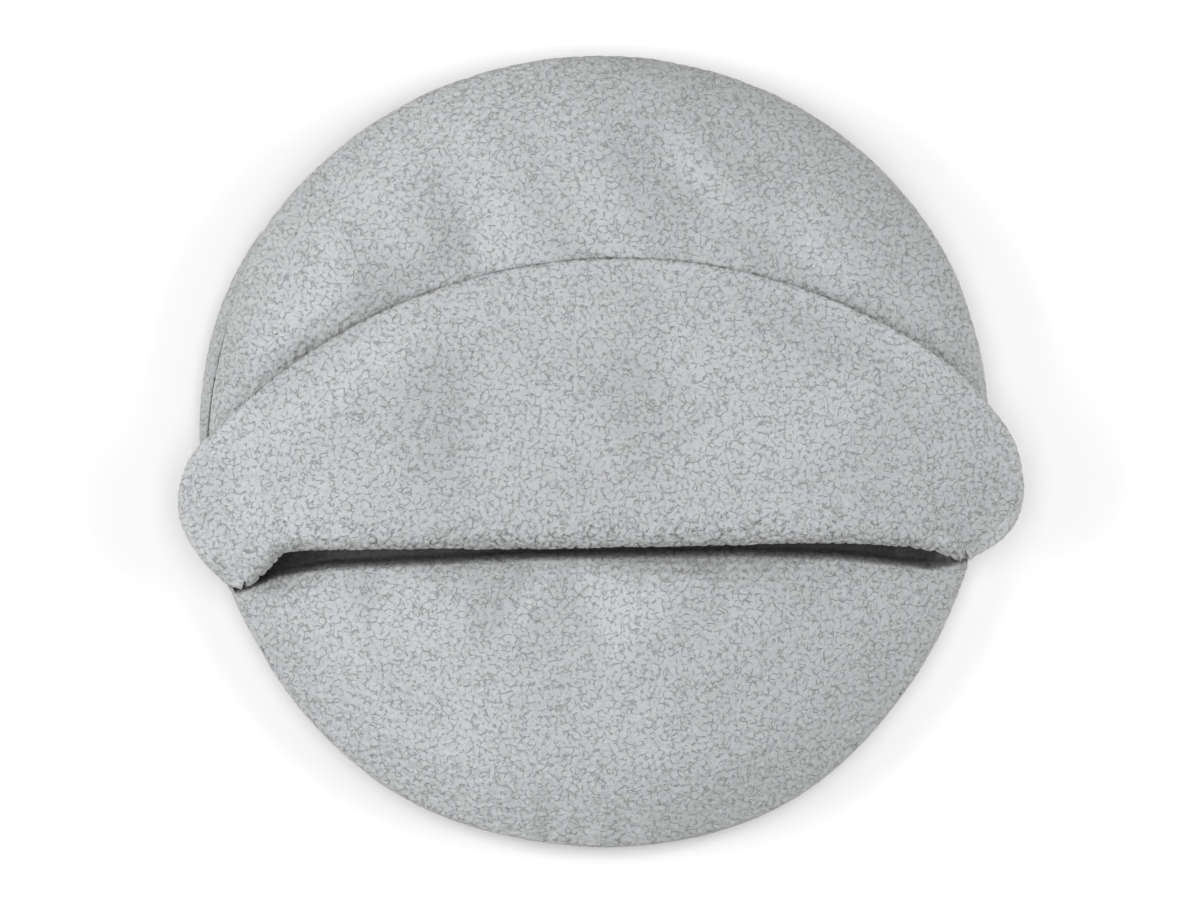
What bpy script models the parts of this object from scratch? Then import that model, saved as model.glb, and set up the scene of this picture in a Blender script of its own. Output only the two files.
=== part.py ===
"""Round hooded pet cushion bed, as separate sewn, filled and fastened pieces.

Frame: metres, +Z up. The origin is the middle of the face that rests on the floor. The mouth of the
pouch faces -Y and the zip is at the rear, +Y.
Bodies: the base, the hood (hinged along its rear seam), the turned-back flap (hinged along the fold at
the mouth), the zip slider (turns about the bed's own axis) and its puller.
"""

import math

import bmesh
import bpy

# --- driving dimensions, in metres -------------------------------------------------------------
GAP = 0.0003  # clearance between neighbouring solids

BED_RADIUS = 0.250  # widest part of the side strip
BED_HEIGHT = 0.062  # top of the sleeping panel's crown
SEAM_RADIUS = 0.245  # where the sleeping panel meets the side strip
SEAM_HEIGHT = 0.044
WAIST_HEIGHT = 0.026  # height of the widest part
DOME_POWER = 4  # how flat the crown is before it falls to the seam

SHERPA = 0.005  # one layer of pile fabric
OXFORD = 0.0015  # base cloth
LINER = 0.001  # insert casing

FLOOR_RADIUS = 0.228  # flat part of the base cloth
FLOOR_SEAM_RADIUS = 0.243
FLOOR_SEAM_HEIGHT = 0.008

INSERT_RADIUS = 0.2385
INSERT_TOP = 0.0557
INSERT_BOTTOM = 0.0018

HOOD_RADIUS = 0.2445
HOOD_SEAM_HEIGHT = 0.0475
HOOD_TOP = 0.0885
HOOD_POWER = 6  # how square the hood's shoulder is
LAYER = 0.0047  # a hood or flap layer

FOLD_Y = -0.0535  # line about which the flap turns
ROLL_RADIUS = 0.0097
ROLL_HALF_LENGTH = 0.2045
ROOT_CLEARANCE = 0.010  # hood and flap stop this far from the fold line

HEM_WIDTH = 0.007
# Arcs of the flap's free edge in plan: centre x, centre y, radius, first and last angle in degrees.
RIGHT_EAR = (0.2084, -0.0185, 0.0631, -44.0, 50.0)
FREE_ARC = (0.0157, -0.2323, 0.354, 52.5, 136.5)
LEFT_EAR = (-0.2080, -0.0350, 0.0578, 139.0, 226.0)
EAR_CORNER_Y = -0.064  # each ear runs back to the fold beside the end of the roll

ZIP_CENTRE = 90.0  # degrees, counter-clockwise from +X
ZIP_HALF_ANGLE = 49.0
ZIP_WINDOW = 0.014  # opening left in the side strip
TAPE_WIDTH = 0.012
TAPE_THICKNESS = 0.0006
TAPE_SETBACK = 0.0010  # the tapes lie this far behind the side strip's inner face
COIL_WIDTH = 0.0023
COIL_THICKNESS = 0.002
SLIDER_ANGLE = 43.0
SLIDER_LENGTH = 0.011

TURN_SEGMENTS = 48
INSERT_SEGMENTS = 32

# --- derived sizes ------------------------------------------------------------------------------
FOLD_Z = HOOD_TOP + GAP
FLAP_UNDERSIDE = FOLD_Z + GAP
LAYER_STEP = LAYER + GAP
FRONT_Y = FOLD_Y + ROOT_CLEARANCE
COIL_OUTWARD = GAP - TAPE_SETBACK  # the coil's back, measured from the strip's inner face
COIL_FACE = BED_RADIUS - SHERPA + COIL_OUTWARD + COIL_THICKNESS
PLATE_FACE = COIL_FACE + GAP + 0.0012  # outer face of the slider's plate
PIVOT_RADIUS = PLATE_FACE + 0.0031  # the puller's bar turns here, clear of the strip
BAR = 0.0011


# --- helpers -------------------------------------------------------------------------------------
def clear_scene():
    for old in list(bpy.data.objects):
        bpy.data.objects.remove(old)


def make_material(name, colour, roughness, metallic=0.0):
    made = bpy.data.materials.new(name)
    made.use_nodes = True
    shader = made.node_tree.nodes["Principled BSDF"]
    shader.inputs["Base Color"].default_value = (*colour, 1.0)
    shader.inputs["Roughness"].default_value = roughness
    shader.inputs["Metallic"].default_value = metallic
    return made


def add_piece(name, mesh_data, material, smooth_angle=40.0):
    """Turns a bmesh into an object with outward faces, its material and soft shading."""
    bmesh.ops.recalc_face_normals(mesh_data, faces=mesh_data.faces)
    mesh = bpy.data.meshes.new(name)
    mesh_data.to_mesh(mesh)
    mesh_data.free()
    mesh.materials.append(material)
    mesh.shade_smooth()
    mesh.set_sharp_from_angle(angle=math.radians(smooth_angle))
    piece = bpy.data.objects.new(name, mesh)
    bpy.context.scene.collection.objects.link(piece)
    return piece


def turned(name, outline, material, first=0.0, last=360.0, segments=TURN_SEGMENTS):
    """Turns a closed (radius, height) outline about Z, all the way round or between two angles."""
    whole = abs(last - first - 360.0) < 1e-6
    count = segments if whole else segments + 1
    mesh_data = bmesh.new()
    poles = {}
    rings = []
    for step in range(count):
        angle = math.radians(first + (last - first) * step / segments)
        ring = []
        for index, (radius, height) in enumerate(outline):
            if radius < 1e-9:
                if index not in poles:
                    poles[index] = mesh_data.verts.new((0.0, 0.0, height))
                ring.append(poles[index])
            else:
                spot = (radius * math.cos(angle), radius * math.sin(angle), height)
                ring.append(mesh_data.verts.new(spot))
        rings.append(ring)
    pairs = list(zip(rings, rings[1:] + rings[:1])) if whole else list(zip(rings, rings[1:]))
    for ring, following in pairs:
        for index in range(len(outline)):
            after = (index + 1) % len(outline)
            corners = [ring[index], following[index], following[after], ring[after]]
            corners = list(dict.fromkeys(corners))
            if len(corners) > 2:
                mesh_data.faces.new(corners)
    if not whole:
        mesh_data.faces.new(rings[0])
        mesh_data.faces.new(rings[-1])
    return add_piece(name, mesh_data, material)


def prism(name, outline, low, high, material):
    """A plan outline, given as (x, y) points, between two heights."""
    mesh_data = bmesh.new()
    floor = mesh_data.faces.new([mesh_data.verts.new((x, y, low)) for x, y in outline])
    raised = bmesh.ops.extrude_face_region(mesh_data, geom=[floor])["geom"]
    tops = [item for item in raised if isinstance(item, bmesh.types.BMVert)]
    bmesh.ops.translate(mesh_data, verts=tops, vec=(0.0, 0.0, high - low))
    return add_piece(name, mesh_data, material)


def cutter(piece):
    """Marks a piece as a tool that shapes others and is no part of the bed."""
    piece.hide_render = True
    piece.display_type = "WIRE"
    return piece


def combine(piece, other, operation):
    """Adds a Boolean of another object to a piece; a joined object is hidden like a cutter."""
    boolean = piece.modifiers.new(operation.lower(), "BOOLEAN")
    boolean.object = cutter(other)
    boolean.operation = operation
    return piece


def spaced(low, high, count):
    return [low + (high - low) * step / (count - 1) for step in range(count)]


# --- shapes shared by several pieces ---------------------------------------------------------------
def dome_height(radius):
    """Top of the sleeping panel."""
    return BED_HEIGHT - (BED_HEIGHT - SEAM_HEIGHT) * (radius / SEAM_RADIUS) ** DOME_POWER


def strip_radius(height):
    """Outer face of the side strip, widest at the waist."""
    if height > WAIST_HEIGHT:
        share = (height - WAIST_HEIGHT) / (SEAM_HEIGHT - WAIST_HEIGHT)
        return BED_RADIUS - (BED_RADIUS - SEAM_RADIUS) * share**2
    share = (WAIST_HEIGHT - height) / (WAIST_HEIGHT - FLOOR_SEAM_HEIGHT)
    return BED_RADIUS - (BED_RADIUS - FLOOR_SEAM_RADIUS) * share**2


def half_cushion(radius, rise, power, steps=7):
    """(radius, height above the waist) points of a half cushion, from the waist to the axis."""
    points = []
    for step in range(steps):
        turn = math.pi / 2 * step / (steps - 1)
        across = radius * math.cos(turn) ** (2 / power) if step < steps - 1 else 0.0
        points.append((across, rise * math.sqrt(max(0.0, 1 - (across / radius) ** power))))
    return points


# --- base cover -------------------------------------------------------------------------------------
def build_sleeping_panel(sherpa):
    """The domed disc that the pet lies on, cut at a slant where it meets the side strip."""
    radii = [SEAM_RADIUS * share for share in (0.0, 0.35, 0.58, 0.75, 0.88, 1.0)]
    crown = [(radius, dome_height(radius)) for radius in radii]
    inner_edge = SEAM_RADIUS - 0.0035
    under = [(radius, dome_height(radius) - SHERPA) for radius in [inner_edge, *radii[-2::-1]]]
    return turned("sleeping_panel", crown + under, sherpa)


def build_side_strip(sherpa):
    """The band round the edge, with the window for the zip cut out at the rear."""
    top, bottom = SEAM_HEIGHT - GAP, FLOOR_SEAM_HEIGHT + 0.0006
    slant = 0.0042  # the cut ends slope inwards to meet the panels
    outer = [(strip_radius(z), z) for z in spaced(bottom, top, 6)]
    inner = [
        (strip_radius(z) - SHERPA, z) for z in spaced(top - slant, bottom + slant * 0.8, 5)
    ]
    strip = turned("side_strip", outer + inner, sherpa)
    half = ZIP_WINDOW / 2
    window = [
        (BED_RADIUS - 0.02, WAIST_HEIGHT - half),
        (BED_RADIUS + 0.01, WAIST_HEIGHT - half),
        (BED_RADIUS + 0.01, WAIST_HEIGHT + half),
        (BED_RADIUS - 0.02, WAIST_HEIGHT + half),
    ]
    margin = ZIP_HALF_ANGLE + 1.4
    tool = turned(
        "zip_window_cutter", window, sherpa, ZIP_CENTRE - margin, ZIP_CENTRE + margin, 24
    )
    return combine(strip, tool, "DIFFERENCE")


def build_base_cloth(oxford):
    """The non-slip cloth underneath: flat on the floor, turned up to the lower seam."""
    run, rise = FLOOR_SEAM_RADIUS - FLOOR_RADIUS, FLOOR_SEAM_HEIGHT
    bend = (run**2 + rise**2) / (2 * rise)
    end = math.asin(run / bend)
    turns = spaced(0.0, end, 4)
    under = [(FLOOR_RADIUS + bend * math.sin(t), bend * (1 - math.cos(t))) for t in turns]
    inside = bend - OXFORD
    over = [
        (FLOOR_RADIUS + inside * math.sin(t), bend - inside * math.cos(t))
        for t in reversed(turns)
    ]
    outline = [(0.0, 0.0), *under, *over, (0.0, OXFORD)]
    return turned("base_cloth", outline, oxford)


# --- insert -----------------------------------------------------------------------------------------
def insert_half(shrink, upward):
    """Outline of one half of the insert, taken in by shrink all round."""
    radius = INSERT_RADIUS - shrink
    if upward:
        rise, power, sign = INSERT_TOP - shrink - WAIST_HEIGHT, 4, 1
    else:
        rise, power, sign = WAIST_HEIGHT - INSERT_BOTTOM - shrink, 12, -1
    return [(r, WAIST_HEIGHT + sign * z) for r, z in half_cushion(radius, rise, power)]


def build_insert(liner, filling):
    """The stuffed pad inside the cover: two sewn casing halves round one fibre filling."""
    for name, upward in (("insert_casing_top", True), ("insert_casing_bottom", False)):
        lift = GAP / 2 if upward else -GAP / 2
        outside = [(r, z + lift) for r, z in insert_half(0.0, upward)]
        inside = [(r, z + lift) for r, z in insert_half(LINER, upward)]
        turned(name, outside + inside[::-1], liner, segments=INSERT_SEGMENTS)
    clear = LINER + 2 * GAP
    upper = insert_half(clear, True)
    lower = insert_half(clear, False)
    turned("insert_filling", lower[::-1] + upper[1:], filling, segments=INSERT_SEGMENTS)


# --- hood -------------------------------------------------------------------------------------------
def hood_height(x, y, radius, top):
    share = min(1.0, math.hypot(x, y) / radius)
    return HOOD_SEAM_HEIGHT + (top - HOOD_SEAM_HEIGHT) * math.sqrt(1 - share**HOOD_POWER)


def hood_grid(mesh_data, radius, top, spokes, shares):
    """Rows of vertices fanning out from the middle of the mouth to the seam round the rear."""
    corner = math.asin(FRONT_Y / radius)
    centre = mesh_data.verts.new((0.0, FRONT_Y, hood_height(0.0, FRONT_Y, radius, top)))
    rows = []
    for angle in spaced(corner, math.pi - corner, spokes):
        edge_x, edge_y = radius * math.cos(angle), radius * math.sin(angle)
        row = [centre]
        for share in shares:
            x = edge_x * share
            y = FRONT_Y + (edge_y - FRONT_Y) * share
            row.append(mesh_data.verts.new((x, y, hood_height(x, y, radius, top))))
        rows.append(row)
    return rows


def build_hood_layer(name, depth, material, spokes=25):
    """One sheet of the hood, depth metres below its outer face, as a shell of constant make."""
    shares = [0.3, 0.56, 0.75, 0.87, 0.94, 0.98, 1.0]
    mesh_data = bmesh.new()
    outer = hood_grid(mesh_data, HOOD_RADIUS - depth, HOOD_TOP - depth, spokes, shares)
    inner = hood_grid(
        mesh_data, HOOD_RADIUS - depth - LAYER, HOOD_TOP - depth - LAYER, spokes, shares
    )
    for grid in (outer, inner):
        for row, following in zip(grid, grid[1:]):
            for index in range(len(shares)):
                corners = [row[index], row[index + 1], following[index + 1], following[index]]
                mesh_data.faces.new(list(dict.fromkeys(corners)))
    for row, following, low_row, low_following in zip(outer, outer[1:], inner, inner[1:]):
        mesh_data.faces.new([row[-1], following[-1], low_following[-1], low_row[-1]])
    for side in (0, -1):
        for index in range(len(shares)):
            mesh_data.faces.new(
                [
                    outer[side][index],
                    outer[side][index + 1],
                    inner[side][index + 1],
                    inner[side][index],
                ]
            )
    return add_piece(name, mesh_data, material)


def build_mouth_roll(sherpa):
    """The soft roll where the hood's two layers fold over at the mouth, a bar with round ends."""
    ends = [math.pi / 2 * step / 3 for step in range(4)]
    straight = ROLL_HALF_LENGTH - ROLL_RADIUS
    half = [
        (ROLL_RADIUS * math.cos(turn), straight + ROLL_RADIUS * math.sin(turn)) for turn in ends
    ]
    half[-1] = (0.0, ROLL_HALF_LENGTH)
    outline = [(r, -z) for r, z in reversed(half)] + half
    roll = turned("mouth_roll", outline, sherpa, segments=16)
    roll.rotation_euler = (0.0, math.radians(90.0), 0.0)
    roll.location = (0.0, FOLD_Y, FOLD_Z)
    return roll


def build_hood_piping(sherpa):
    """The welt sewn into the seam between hood and side strip, round the rear of the bed."""
    thickness, sides, corner = 0.0032, 6, 18.0
    outline = []
    for step in range(sides):
        turn = 2 * math.pi * step / sides
        outline.append(
            (
                SEAM_RADIUS + 0.0016 + thickness / 2 * math.cos(turn),
                SEAM_HEIGHT + 0.0018 + thickness / 2 * math.sin(turn),
            )
        )
    return turned("hood_piping", outline, sherpa, -corner, 180.0 + corner, 40)


# --- flap -------------------------------------------------------------------------------------------
def arc_points(arc, inset, count):
    """Points along one arc of the free edge, moved in towards its centre."""
    centre_x, centre_y, radius, first, last = arc
    turns = [math.radians(angle) for angle in spaced(first, last, count)]
    reach = radius - inset
    return [(centre_x + reach * math.cos(t), centre_y + reach * math.sin(t)) for t in turns]


def free_edge(inset):
    """The flap's free edge from the right ear's tip, over the long arc, to the left ear's tip."""
    right = arc_points(RIGHT_EAR, inset, 6)
    return right + arc_points(FREE_ARC, inset, 15) + arc_points(LEFT_EAR, inset, 6)


def build_flap(sherpa):
    """The flap's two layers, and the turned hem that closes them along the free edge."""
    end = ROLL_HALF_LENGTH + 0.0015
    root = [(-end, EAR_CORNER_Y), (-end, FRONT_Y), (end, FRONT_Y), (end, EAR_CORNER_Y)]
    plan = free_edge(HEM_WIDTH + GAP) + root
    low = FLAP_UNDERSIDE
    prism("flap_outer_layer", plan, low, low + LAYER, sherpa)
    prism("flap_lining_layer", plan, low + LAYER_STEP, low + LAYER_STEP + LAYER, sherpa)
    band = free_edge(0.0) + free_edge(HEM_WIDTH)[::-1]
    prism("flap_hem", band, low, low + LAYER_STEP + LAYER, sherpa)


# --- zip --------------------------------------------------------------------------------------------
def zip_band(name, heights, outward, thickness, arc, material, segments=30):
    """A band that follows the side strip's curve, outward metres outside its inner face."""
    backs = [(strip_radius(height) - SHERPA + outward, height) for height in heights]
    faces = [(radius + thickness, height) for radius, height in backs]
    return turned(name, backs + faces[::-1], material, *arc, segments)


def build_zip_chain(tape, nylon, metal):
    """Two tapes behind the window's edges, a coil half on each, and a stop at each end."""
    first, last = ZIP_CENTRE - ZIP_HALF_ANGLE, ZIP_CENTRE + ZIP_HALF_ANGLE
    tape_back = -TAPE_SETBACK - TAPE_THICKNESS
    for side, sign in (("upper", 1), ("lower", -1)):
        near, far = WAIST_HEIGHT + sign * GAP, WAIST_HEIGHT + sign * TAPE_WIDTH
        edge = near + sign * COIL_WIDTH
        zip_band(f"zip_tape_{side}", (near, far), tape_back, TAPE_THICKNESS, (first, last), tape)
        zip_band(f"zip_coil_{side}", (near, edge), COIL_OUTWARD, COIL_THICKNESS, (first, last), nylon)
    clear, stop = 0.1, 0.5  # degrees: gap to the coil's end, and length of a stop
    ends = (
        ("zip_stop_closed", (first - clear - stop, first - clear)),
        ("zip_stop_open", (last + clear, last + clear + stop)),
    )
    heights = (WAIST_HEIGHT - COIL_WIDTH, WAIST_HEIGHT + COIL_WIDTH)
    for name, arc in ends:
        zip_band(name, heights, COIL_OUTWARD, COIL_THICKNESS, arc, metal, 2)


def place_on_zip(piece):
    """Stands a piece made at the zip's waist, facing +X, at the slider's place on the arc."""
    piece.rotation_euler = (0.0, 0.0, math.radians(SLIDER_ANGLE))
    piece.location = (0.0, 0.0, WAIST_HEIGHT)
    return piece


def box(name, low, high, material):
    outline = [(low[0], low[1]), (high[0], low[1]), (high[0], high[1]), (low[0], high[1])]
    return prism(name, outline, low[2], high[2], material)


def bevel(piece, width):
    rounding = piece.modifiers.new("rounding", "BEVEL")
    rounding.width = width
    rounding.segments = 1
    return piece


def build_slider(metal):
    """A channel over the coil with an arch on its face that holds the puller's bar."""
    half_length, half_width, wall = SLIDER_LENGTH / 2, 0.0042, 0.0009
    rail_foot = BED_RADIUS - SHERPA + COIL_OUTWARD
    channel = box(
        "zip_slider",
        (rail_foot, -half_length, -half_width),
        (PLATE_FACE, half_length, half_width),
        metal,
    )
    groove = box(
        "slider_groove_cutter",
        (rail_foot - 0.001, -half_length - 0.001, wall - half_width),
        (COIL_FACE + GAP, half_length + 0.001, half_width - wall),
        metal,
    )
    combine(channel, place_on_zip(groove), "DIFFERENCE")
    room = BAR / 2 * math.sqrt(2) + GAP  # the square bar turns inside the arch
    arch_wall = 0.0008
    arch = box(
        "slider_arch",
        (PLATE_FACE - 0.0004, -room - arch_wall, -0.0008),
        (PIVOT_RADIUS + room + arch_wall, room + arch_wall, 0.0008),
        metal,
    )
    eye = box(
        "slider_eye_cutter",
        (PIVOT_RADIUS - room, -room, -0.002),
        (PIVOT_RADIUS + room, room, 0.002),
        metal,
    )
    combine(channel, place_on_zip(arch), "UNION")
    combine(channel, place_on_zip(eye), "DIFFERENCE")
    return place_on_zip(channel)


def build_puller(metal):
    """A flat tab on two arms, whose end bar turns in the slider's arch."""
    half_width, length = 0.0031, 0.024
    tab = box(
        "zip_puller",
        (PIVOT_RADIUS - BAR / 2, -BAR / 2, -half_width),
        (PIVOT_RADIUS + BAR / 2, length, half_width),
        metal,
    )
    bevel(tab, 0.0002)
    slot = box(
        "puller_slot_cutter",
        (PIVOT_RADIUS - 0.003, BAR / 2, -half_width + 0.0013),
        (PIVOT_RADIUS + 0.003, BAR / 2 + 0.005, half_width - 0.0013),
        metal,
    )
    combine(tab, place_on_zip(slot), "DIFFERENCE")
    return place_on_zip(tab)


# --- the bed ----------------------------------------------------------------------------------------
def main():
    clear_scene()
    sherpa = make_material("sherpa", (0.47, 0.48, 0.49), 0.95)
    oxford = make_material("base_oxford", (0.20, 0.20, 0.21), 0.85)
    liner = make_material("insert_liner", (0.80, 0.80, 0.78), 0.90)
    filling = make_material("fibre_filling", (0.88, 0.88, 0.86), 0.95)
    tape = make_material("zip_tape", (0.38, 0.39, 0.40), 0.80)
    nylon = make_material("zip_coil", (0.42, 0.43, 0.44), 0.45)
    metal = make_material("zip_metal", (0.62, 0.62, 0.63), 0.35, 1.0)

    build_base_cloth(oxford)
    build_side_strip(sherpa)
    build_sleeping_panel(sherpa)
    build_insert(liner, filling)
    build_hood_layer("hood_outer_layer", 0.0, sherpa)
    build_hood_layer("hood_lining_layer", LAYER_STEP, sherpa)
    build_hood_piping(sherpa)
    build_mouth_roll(sherpa)
    build_flap(sherpa)
    build_zip_chain(tape, nylon, metal)
    build_slider(metal)
    build_puller(metal)


main()
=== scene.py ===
"""Looks of the round hooded pet bed: sherpa pile, seams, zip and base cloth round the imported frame.

Each sheet of pile fabric is cut as a flat pattern of square cells, bent to its place by a formula and
raised into curls. Units are metres, in the frame of the CAD model.
"""

import itertools
import math

import bpy
import numpy as np
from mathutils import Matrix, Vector


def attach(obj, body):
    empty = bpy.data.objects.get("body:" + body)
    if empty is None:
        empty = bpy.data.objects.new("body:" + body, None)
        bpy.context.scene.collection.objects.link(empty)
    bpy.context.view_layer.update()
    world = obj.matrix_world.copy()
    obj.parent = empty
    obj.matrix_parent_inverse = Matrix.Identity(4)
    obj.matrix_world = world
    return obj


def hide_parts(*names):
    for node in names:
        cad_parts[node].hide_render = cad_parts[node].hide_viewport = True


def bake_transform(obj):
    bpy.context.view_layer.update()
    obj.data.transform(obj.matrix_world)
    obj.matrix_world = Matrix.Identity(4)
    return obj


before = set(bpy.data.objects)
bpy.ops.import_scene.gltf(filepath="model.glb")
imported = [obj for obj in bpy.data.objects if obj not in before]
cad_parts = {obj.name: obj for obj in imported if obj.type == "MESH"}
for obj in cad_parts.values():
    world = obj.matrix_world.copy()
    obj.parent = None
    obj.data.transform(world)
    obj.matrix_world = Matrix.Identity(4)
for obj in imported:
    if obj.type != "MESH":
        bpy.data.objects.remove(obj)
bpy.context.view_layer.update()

# --- places that follow the CAD model, within a few millimetres ---
SEAM_RADIUS = 0.2455
SEAM_HEIGHT = 0.0425
WAIST_HEIGHT = 0.026
FRONT_SEAM_DROP = 0.0065  # how much lower the panel's seam runs in front
FLOOR_SEAM_RADIUS = 0.2425
FLOOR_SEAM_HEIGHT = 0.0088
STRIP_UNDER_HOOD = 0.2500  # the most that the side strip bulges where the hood hangs over it
STRIP_AT_ZIP = 0.2462
ZIP_CENTRE = math.radians(90.0)
ZIP_HALF_ANGLE = math.radians(49.0)
ZIP_WINDOW = 0.014
TAPE_RADIUS = 0.2437
COIL_RADIUS = 0.2453

# --- outlines, as x and y in metres ---
# The bed's side seen from above: direction in degrees and radius in millimetres.
SIDE_OUTLINE = np.array(
    [
        (0, 250.0), (30, 258.0), (60, 256.5), (75, 254.0), (105, 252.5), (130, 254.5), (158, 257.5),
        (180, 252.5), (208, 247.0), (240, 251.0), (262, 249.5), (298, 253.5), (322, 248.0), (342, 246.5),
        (360, 250.0),
    ]
)  # fmt: skip
RIGHT_EAR = np.array(
    [
        (0.2385, -0.0684), (0.2468, -0.0633), (0.2520, -0.0600), (0.2608, -0.0538), (0.2677, -0.0443),
        (0.2712, -0.0345), (0.2721, -0.0253), (0.2715, -0.0158), (0.2695, -0.0060), (0.2670, 0.0032),
        (0.2620, 0.0127), (0.2544, 0.0222), (0.2468, 0.0316),
    ]
)  # fmt: skip
FREE_ARC = (0.0157, -0.2323, 0.354, 52.5, 135.5)  # centre x, centre y, radius, first and last angle
LEFT_EAR = np.array(
    [
        (-0.2525, 0.0032), (-0.2590, -0.0060), (-0.2633, -0.0158), (-0.2655, -0.0250), (-0.2658, -0.0348),
        (-0.2644, -0.0450), (-0.2602, -0.0548), (-0.2525, -0.0662), (-0.2438, -0.0765), (-0.2345, -0.0845),
        (-0.2253, -0.0873),
    ]
)  # fmt: skip
FLAP_SHRINK = 0.984
FLAP_SHIFT = -0.0022
# The roll's middle line: x, y and radius.
ROLL_LINE = np.array(
    [
        (-0.2290, -0.0842, 0.0036), (-0.2232, -0.0790, 0.0052), (-0.2170, -0.0722, 0.0070),
        (-0.2120, -0.0650, 0.0083), (-0.2080, -0.0586, 0.0090), (-0.2020, -0.0536, 0.0093),
        (-0.1900, -0.0519, 0.0094), (-0.1700, -0.0515, 0.0094), (-0.1000, -0.0513, 0.0095),
        (0.0000, -0.0505, 0.0096), (0.0900, -0.0486, 0.0095), (0.1500, -0.0470, 0.0095),
        (0.1750, -0.0480, 0.0094), (0.1950, -0.0500, 0.0092), (0.2100, -0.0526, 0.0086),
        (0.2220, -0.0562, 0.0074), (0.2310, -0.0612, 0.0056), (0.2385, -0.0664, 0.0036),
    ]
)  # fmt: skip
# Where the cushion starts to sink under the roll: x, y and how deep it sinks.
SINK_LINE = np.array(
    [
        (-0.2400, -0.0950, 0.000), (-0.2240, -0.0890, 0.010), (-0.2030, -0.0795, 0.024),
        (-0.1710, -0.0745, 0.027), (-0.1060, -0.0712, 0.026), (-0.0500, -0.0682, 0.024),
        (0.0000, -0.0668, 0.024), (0.0800, -0.0652, 0.024), (0.1500, -0.0676, 0.026),
        (0.1900, -0.0718, 0.026), (0.2095, -0.0738, 0.019), (0.2250, -0.0725, 0.008),
        (0.2400, -0.0710, 0.000),
    ]
)  # fmt: skip
# The flap's slow ridges and dips: x and height.
FLAP_WAVES = np.array(
    [
        (-0.275, -0.0030), (-0.240, -0.0012), (-0.200, 0.0008), (-0.160, 0.0026), (-0.130, 0.0036),
        (-0.115, 0.0032), (-0.095, 0.0010), (-0.080, -0.0004), (-0.050, 0.0004), (-0.010, 0.0012),
        (0.018, 0.0010), (0.036, -0.0010), (0.050, -0.0018), (0.090, -0.0008), (0.130, 0.0008),
        (0.170, 0.0012), (0.220, 0.0000), (0.272, -0.0022),
    ]
)  # fmt: skip
LEFT_VALLEY = [(-0.200, 0.046), (-0.156, 0.074), (-0.100, 0.104), (-0.078, 0.122)]
RIGHT_VALLEY = [(0.222, 0.056), (0.180, 0.086), (0.124, 0.112), (0.088, 0.142), (0.042, 0.178)]

# --- the cloth ---
CURL = 0.0050  # pitch of the pile's curls
CURL_HEIGHT = 0.0009
PILE_TURN = np.array([[0.848, 0.530], [-0.530, 0.848]])  # the pile's rows lie askew to the cut
FINE = 0.00105  # cell size where a piece shows from above
COARSE = 0.0045  # cell size in the rows that something covers
UNSEEN = 0.0026  # cell size of the flap's lower face
SLOPE_LIGHT_LIMIT = 0.16  # the most that a slope counts for in the painted light and shade
HOOD_TOP = 0.0872
HOOD_SEAM = 0.0466
HEM_WIDTH = 0.0070
HEM_THICK = 0.0046
HOOD_THICK = 0.0085
FLAP_HEIGHT = 0.0966
OFF_ROLL = 0.0006  # how far the flap's cloth lies off the roll
COARSE_CURL = 0.007  # pitch of the curls where they are out of sight


# --- numbers that look random but are fixed ---
def cell_random(cells, salt):
    """A fixed number from 0 to 1 for each whole-number cell of a grid."""
    primes = np.array([73856093, 19349663, 83492791], np.int64)[: cells.shape[1]]
    mixed = cells.astype(np.int64) @ primes
    mixed = (mixed + salt * 40503001) & 0xFFFFFFFF
    for shift, factor in ((16, 0x45D9F3B), (15, 0x2C1B3C6D), (16, 0x297A2D39)):
        mixed = ((mixed ^ (mixed >> shift)) * factor) & 0xFFFFFFFF
    return (mixed ^ (mixed >> 16)) / 4294967295.0


def smooth(low, high, value):
    share = np.clip((value - low) / (high - low), 0.0, 1.0)
    return share * share * (3.0 - 2.0 * share)


def soft_noise(points, size, salt):
    """Smooth noise from 0 to 1, whose lumps are about size metres across."""
    scaled = points / size
    base = np.floor(scaled)
    part = smooth(0.0, 1.0, scaled - base)
    total = np.zeros(len(points))
    for corner in itertools.product((0, 1), repeat=points.shape[1]):
        share = np.prod(np.where(np.array(corner) == 1, part, 1.0 - part), axis=1)
        total += share * cell_random(base + corner, salt)
    return total


def curl_distances(flat, size):
    """Distance to the nearest curl's middle and to the next nearest, in curl pitches."""
    scaled = flat / size
    base = np.floor(scaled)
    first = np.full(len(flat), 9.0)
    second = first.copy()
    for offset in itertools.product((-1, 0, 1), repeat=2):
        cell = base + offset
        spread = np.stack([cell_random(cell, salt) for salt in (1, 2)], axis=1)
        away = np.linalg.norm(scaled - cell - 0.06 - 0.88 * spread, axis=1)
        closer = away < first
        second = np.where(closer, first, np.minimum(second, away))
        first = np.where(closer, away, first)
    return first, second


def pile(flat, size=CURL, height=CURL_HEIGHT):
    """Height of the pile over a flat pattern, and how deep in a crease it is, from 0 to 1."""
    flat = flat @ PILE_TURN
    warp = np.stack([soft_noise(flat, size * 0.7, salt) for salt in (11, 12)], axis=1)
    moved = flat + (warp - 0.5) * size * 0.55
    first, second = curl_distances(moved, size)
    strength = smooth(0.20, 0.80, soft_noise(flat, size * 0.7, 21))
    crease = (1.0 - smooth(0.0, 0.24, second - first)) * (0.25 + 0.75 * strength)
    lump = 1.0 - 1.1 * first**2
    drift = soft_noise(flat, size * 2.5, 22) - 0.5
    return height * (0.65 * lump - 0.75 * crease + 0.45 * drift), crease


# --- flat patterns ---
def arc_points(arc, count):
    centre_x, centre_y, radius, first, last = arc
    turns = np.radians(np.linspace(first, last, count))
    return np.stack([centre_x + radius * np.cos(turns), centre_y + radius * np.sin(turns)], axis=1)


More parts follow.
